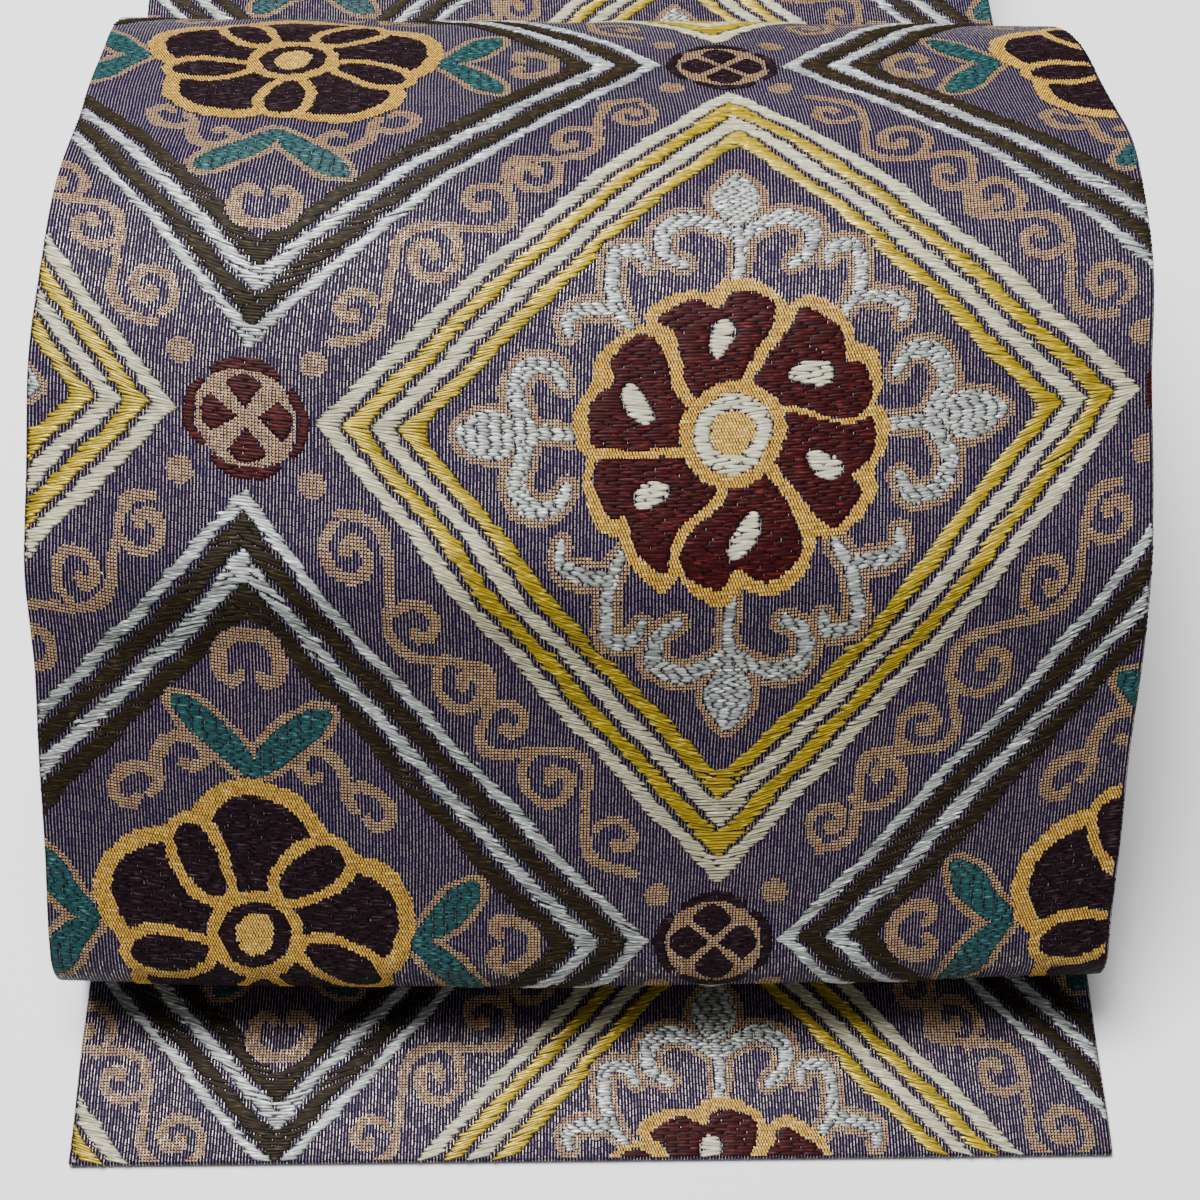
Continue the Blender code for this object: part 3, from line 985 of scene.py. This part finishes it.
# How a thread is woven.  width and height: of a float.  limit: the longest that isn't tied down.  span:
# between its ties.  slope: how far it leans with its band.  foot: the gap left at its ends.  soft: how high
# its sides stay, from 0 for a round cord to 1 for a flat one.
Weave = namedtuple("Weave", "width height limit span slope foot soft")
WEAVES = {
    "cream": Weave(0.00108, 0.00060, 0.0125, 0.0085, 0.26, 0.00008, 0.10),
    "gold": Weave(0.00108, 0.00065, 0.0125, 0.0085, 0.30, 0.00008, 0.10),
    "silver": Weave(0.00108, 0.00060, 0.0086, 0.0062, 0.34, 0.00006, 0.15),
    "brown": Weave(0.00106, 0.00050, 0.0092, 0.0064, 0.30, 0.00006, 0.20),
    "burgundy": Weave(0.00108, 0.00036, 0.0082, 0.0068, 0.0, 0.00008, 0.42),
    "aubergine": Weave(0.00106, 0.00036, 0.0066, 0.0054, 0.0, 0.00008, 0.40),
    "teal": Weave(0.00104, 0.00042, 0.0042, 0.0034, 0.12, 0.00006, 0.40),
    "bright": Weave(0.00106, 0.00042, 0.0042, 0.0034, 0.10, 0.00004, 0.34),
    "drop": Weave(0.00106, 0.00046, 0.0080, 0.0080, 0.10, 0.00004, 0.40),
}
# Threads woven as small upright stitches: the spacing across and along, a stitch's length, width, height and
# lean, and how far every other row is shifted
Stitch = namedtuple("Stitch", "across along length width height lean stagger")
STITCHES = {
    "amber": Stitch(0.00084, 0.00094, 0.00086, 0.00076, 0.00036, 0.18, 0.5),
    "core": Stitch(0.00084, 0.00094, 0.00086, 0.00076, 0.00030, 0.18, 0.5),
    "tan": Stitch(0.00094, 0.00086, 0.00050, 0.00052, 0.00012, 0.0, 0.0),
}
# From one row of floats to the next, and the bare edges that floats and their ends keep clear of
PICK = 0.0009
EDGE = 0.0006
SELVEDGE = 0.0002

# Ties: how far they move from row to row, how far they stray, and the range of a thread's limit
TIE_STEP = 0.0009
TIE_STRAY = 0.0008
TIE_LIMITS = (0.7, 1.5)
# Floats: the shortest, the least slope of a thread that leans with its band, how near a diamond's corner it
# leans less, and the ranges of lean and height
SHORTEST = 0.0006
BANDED_SLOPE = 0.2
CORNER_ACROSS = 0.009
CORNER_ALONG = 0.004
LEANS = (0.65, 1.35)
HEIGHTS = (0.82, 1.15)
# Ends: how ragged they are in a band and in a figure, a band's saw teeth, and a float's taper and width there
RAGGED_BAND = 0.00042
RAGGED_FIGURE = 0.0002
TOOTH = 0.00045
TAPER = 0.0010
END_WIDTH = 0.62
# How far a float and a stitch stray from their rows, and the ranges of a stitch's lean and height
FLOAT_STRAY = 0.00012
STITCH_STRAY = 0.00005
STITCH_LEANS = (0.75, 1.25)
STITCH_HEIGHTS = (0.8, 1.2)


def take_pattern(columns, rows):
    """The points and faces of a flat grid, one unit long and wide, to shape floats or stitches from."""
    bpy.ops.object.select_all(action="DESELECT")
    bpy.ops.mesh.primitive_grid_add(x_subdivisions=columns, y_subdivisions=rows, size=1.0)
    pattern = bpy.context.object
    points = np.array([vertex.co for vertex in pattern.data.vertices])[:, :2]
    faces = np.array([face.vertices for face in pattern.data.polygons])
    bpy.data.objects.remove(pattern, do_unlink=True)
    return points, faces


def by_chance(random, reach, size):
    """Chance amounts, up to a reach either way."""
    return random.uniform(-reach, reach, size)


def find_runs(squares):
    """Stretches of one thread along each row: row, first column, column past the last, and thread."""
    rows, columns = squares.shape
    change = np.ones((rows, columns + 1), bool)
    change[:, 1:columns] = squares[:, 1:] != squares[:, :-1]
    found = np.flatnonzero(change)
    row = found // (columns + 1)
    column = found % (columns + 1)
    keep = column < columns
    after = np.roll(column, -1)
    return row[keep], column[keep], after[keep], squares[row[keep], column[keep]]


def tie_down(start, end, limit, span, shift):
    """Cut long runs at their ties.  Returns the pieces' starts and ends and the run each came from."""
    long = end - start > limit
    first = np.floor((start - shift) / span)
    cuts = np.where(long, np.floor((end - shift) / span) - first, 0).astype(int)
    source = np.repeat(np.arange(len(start)), cuts + 1)
    number = np.arange(len(source)) - np.repeat(np.cumsum(cuts + 1) - (cuts + 1), cuts + 1)
    tie = shift[source] + (first[source] + number) * span
    begin = np.where(number == 0, start[source], tie)
    finish = np.where(number == cuts[source], end[source], tie + span)
    return begin, finish, source


def from_middle(places, centre, repeat):
    """How far places are from the middle of the nearest diamond."""
    return (places - centre + repeat / 2) % repeat - repeat / 2


def lay_floats(paper, thread, low, high, pattern, random):
    """Every float of one thread between two rows of the design."""
    weave = WEAVES[thread]
    points, faces = pattern
    rows = np.arange(math.ceil(low / PICK), math.floor(high / PICK))
    across = np.arange(-WIDTH / 2 + EDGE, WIDTH / 2 - EDGE, SQUARE)
    squares = paper.thread_at(across[None, :], rows[:, None] * PICK)
    row, first, last, number = find_runs(squares)
    chosen = number == NUMBER[thread]
    start = across[0] + first[chosen] * SQUARE
    end = across[0] + last[chosen] * SQUARE
    banded = weave.slope > BANDED_SLOPE

    # Long runs are tied down, on lines that zigzag from row to row
    line = rows[row[chosen]]
    zigzag = np.abs((line + 5 * np.sin(line * 0.21)) % 12 - 6)
    shift = zigzag * TIE_STEP + 0.5 * weave.span * (line % 2) + by_chance(random, TIE_STRAY, len(line))
    limit = weave.limit * random.uniform(*TIE_LIMITS, len(line))
    start, end, source = tie_down(start, end, limit, weave.span, shift)
    keep = end - start > SHORTEST
    start = start[keep] + weave.foot
    end = end[keep] - weave.foot
    line = line[source[keep]]
    middle = (start + end) / 2
    along_row = line * PICK

    # A band's floats lean the way that its side of the diamond runs, and the others either way by chance
    if banded:
        yellow = thread in ("cream", "gold")
        centre = DESIGN_MIDDLE if yellow else DESIGN_MIDDLE + REPEAT_ACROSS / 2
        x = from_middle(middle, centre, REPEAT_ACROSS)
        y = from_middle(along_row, 0.0 if yellow else REPEAT_ALONG / 2, REPEAT_ALONG)
        lean = np.clip(-y / CORNER_ALONG, -1, 1)
    else:
        lean = random.choice([-1.0, 1.0], len(line))
    slope = weave.slope * lean * random.uniform(*LEANS, len(line))
    tooth = 0.0
    if banded:
        slope = slope * np.sign(x) * np.clip(np.abs(x) / CORNER_ACROSS, 0, 1)
        tooth = TOOTH * np.sin(2.2 * line + 3.0 * np.sin(0.37 * line))
    ragged = RAGGED_BAND if banded else RAGGED_FIGURE
    start = start + tooth + by_chance(random, ragged, len(line))
    end = end + tooth + by_chance(random, ragged, len(line))

    # Each float is the pattern drawn out between its ends, narrow and low there
    share = points[:, 0] + 0.5
    taper = np.minimum(0.3, TAPER / np.maximum(end - start, TAPER / 2))[:, None]
    place = np.select([share < 0.2, share < 0.5, share < 0.8], [0.0, taper, 1 - taper], 1.0)
    ends = (share < 0.2) | (share > 0.8)
    ridge = np.abs(points[:, 1]) < 0.25
    u = start[:, None] + (end - start)[:, None] * place
    wobble = by_chance(random, FLOAT_STRAY, len(line))
    v = (along_row + wobble)[:, None] + slope[:, None] * (u - middle[:, None])
    v = v + points[:, 1] * weave.width * np.where(ends, END_WIDTH, 1.0)
    height = weave.height * random.uniform(*HEIGHTS, len(line))[:, None]
    # The rise sets a float's height and also how far painted shade darkens it, at its ends and low sides
    rise = np.where(ends, 0.05 + 0.5 * weave.soft, 1.0) * np.where(ridge, 1.0, weave.soft)
    rise = np.broadcast_to(rise, u.shape)
    return u, v, height * rise, rise, faces


def lay_stitches(paper, thread, low, high, pattern, random):
    """Every stitch of one thread between two rows of the design."""
    stitch = STITCHES[thread]
    points, faces = pattern
    half = WIDTH / 2 - EDGE
    rows = np.arange(math.ceil(low / stitch.along), math.floor(high / stitch.along))
    columns = np.arange(math.ceil(-half / stitch.across), math.floor(half / stitch.across))
    across = (columns[None, :] + stitch.stagger * (rows[:, None] % 2)) * stitch.across
    along = np.broadcast_to(rows[:, None] * stitch.along, across.shape)
    shown = paper.thread_at(across, along) == NUMBER[thread]
    across = across[shown]
    along = along[shown]
    lean = stitch.lean * random.uniform(*STITCH_LEANS, len(across))[:, None]
    wobble = by_chance(random, STITCH_STRAY, (2, len(across), 1))
    u = across[:, None] + wobble[0] + points[:, 1] * stitch.width + lean * points[:, 0] * stitch.length
    v = along[:, None] + wobble[1] + points[:, 0] * stitch.length
    # A stitch is low at its sides, where painted shade darkens it; a dot keeps its full colour
    ridge = np.where(np.abs(points[:, 1]) < 0.25, 1.0, 0.05) if len(points) > 4 else np.ones(4)
    rise = np.broadcast_to(ridge, u.shape)
    height = stitch.height * random.uniform(*STITCH_HEIGHTS, len(across))[:, None]
    return u, v, height * rise, rise, faces


def set_values(mesh, name, domain, values):
    """Give a mesh a named value at each of its points or faces."""
    mesh.attributes.new(name, "FLOAT", domain).data.foreach_set("value", values.astype(np.float32))


def weave_piece(stretch, paper, name, threads, materials, patterns, seed):
    """One mesh of all the floats of some threads, folded with the cloth that they are woven in."""
    random = np.random.default_rng(seed)
    span = (stretch.figure.min(), stretch.figure.max())
    parts = []
    total = 0
    for slot, thread in enumerate(threads):
        if thread in WEAVES:
            u, v, lift, rise, faces = lay_floats(paper, thread, *span, patterns["float"], random)
        else:
            pattern = patterns["dot"] if thread == "tan" else patterns["stitch"]
            u, v, lift, rise, faces = lay_stitches(paper, thread, *span, pattern, random)
        count, points = u.shape
        u = np.clip(u, -WIDTH / 2 + SELVEDGE, WIDTH / 2 - SELVEDGE)
        part = (
            fold(stretch, u, length_to(stretch, u, v), lift).reshape(-1, 3),
            (faces[None] + total + points * np.arange(count)[:, None, None]).reshape(-1, 4),
            u.ravel(),
            v.ravel(),
            rise.ravel(),
            np.repeat(random.uniform(0, 1, count), len(faces)),
            np.full(count * len(faces), slot),
        )
        parts.append(part)
        total += count * points
    places, faces, across, row, rises, tones, slots = (np.concatenate(column) for column in zip(*parts))
    mesh = bpy.data.meshes.new(name)
    mesh.from_pydata(places, [], faces)
    name_maps(mesh, across, row, stretch)
    set_values(mesh, "rise", "POINT", rises)
    set_values(mesh, "tone", "FACE", tones)
    for thread in threads:
        mesh.materials.append(materials[thread])
    mesh.polygons.foreach_set("material_index", slots.astype(np.int32))
    mesh.shade_smooth()
    mesh.update()
    piece = bpy.data.objects.new(name, mesh)
    bpy.context.scene.collection.objects.link(piece)
    return piece


# ---------------- the stage

LIGHT_TARGET = (0.0, -0.05, 0.05)


def add_floor():
    """A plain pale floor."""
    bpy.ops.object.select_all(action="DESELECT")
    bpy.ops.mesh.primitive_plane_add(size=6.0, location=(0.0, 0.0, 0.0))
    floor = bpy.context.object
    floor.name = "floor"
    material, tree, shader = new_material("floor")
    connect(tree, shader, {"Base Color": (0.94, 0.94, 0.94, 1.0), "Roughness": 0.9})
    floor.data.materials.append(material)


def add_light(name, place, size, power):
    """A square soft light that faces the sash."""
    bpy.ops.object.light_add(type="AREA", location=place)
    light = bpy.context.object
    light.name = name
    light.data.shape = "SQUARE"
    light.data.size = size
    light.data.energy = power
    way = Vector(LIGHT_TARGET) - Vector(place)
    light.rotation_euler = way.to_track_quat("-Z", "Y").to_euler()


def add_lights():
    """Soft studio light from above and behind, with a weaker fill from the front."""
    add_light("high light", (-0.30, 0.28, 1.48), 0.72, 60.0)
    add_light("front fill", (0.5, -1.2, 0.9), 0.8, 2.0)
    world = bpy.data.worlds.new("studio")
    world.use_nodes = True
    background = world.node_tree.nodes["Background"]
    connect(world.node_tree, background, {"Color": (1.0, 1.0, 1.0, 1.0), "Strength": 0.14})
    bpy.context.scene.world = world


# ---------------- making it

# A woven group: the threads that one piece of floats holds
GROUPS = (
    ("bands", ("cream", "gold", "silver", "brown")),
    ("blossoms", ("burgundy", "aubergine", "drop", "core", "amber")),
    ("sprigs", ("bright", "teal")),
    ("scrolls", ("tan",)),
)

# A sheet: its path, its name, its columns and the spacing of its rows, its wall, how it is held and what it
# is on
Sheet = namedtuple("Sheet", "path name columns spacing wall held rests_on")
SHEETS = (
    Sheet(tail_path, "tail_cloth", 62, 0.006, WALL, "laid", []),
    Sheet(drum_path, "drum_cloth", 62, 0.004, WALL, "folded", ["tail_cloth", "back_cloth"]),
    Sheet(back_path, "back_cloth", 62, 0.006, WALL, "folded", ["stack_cloth"]),
    Sheet(stack_path, "stack_cloth", 30, 0.010, STACK_WALL, "folded", []),
)


def main():
    """Build the sash around the frame."""
    add_camera()
    ground = make_ground_material(ground_group())
    yarns = yarn_group()
    materials = {name: make_yarn_material(name, yarns) for name in YARNS}
    patterns = {"float": take_pattern(3, 2), "stitch": take_pattern(1, 2), "dot": take_pattern(1, 1)}
    paper = draw_design()
    for number, sheet in enumerate(SHEETS):
        stretch = sheet.path()
        cloth = make_cloth(stretch, sheet.name, sheet.columns, sheet.spacing, sheet.wall, ground)
        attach(cloth, "root")
        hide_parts(stretch.name)
        # The layers of the stack are plain ground
        groups = () if sheet.name == "stack_cloth" else GROUPS
        for order, (label, threads) in enumerate(groups):
            name = sheet.name.replace("cloth", label)
            piece = weave_piece(stretch, paper, name, threads, materials, patterns, 10 * number + order)
            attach(piece, "root")
    add_floor()
    add_lights()


main()
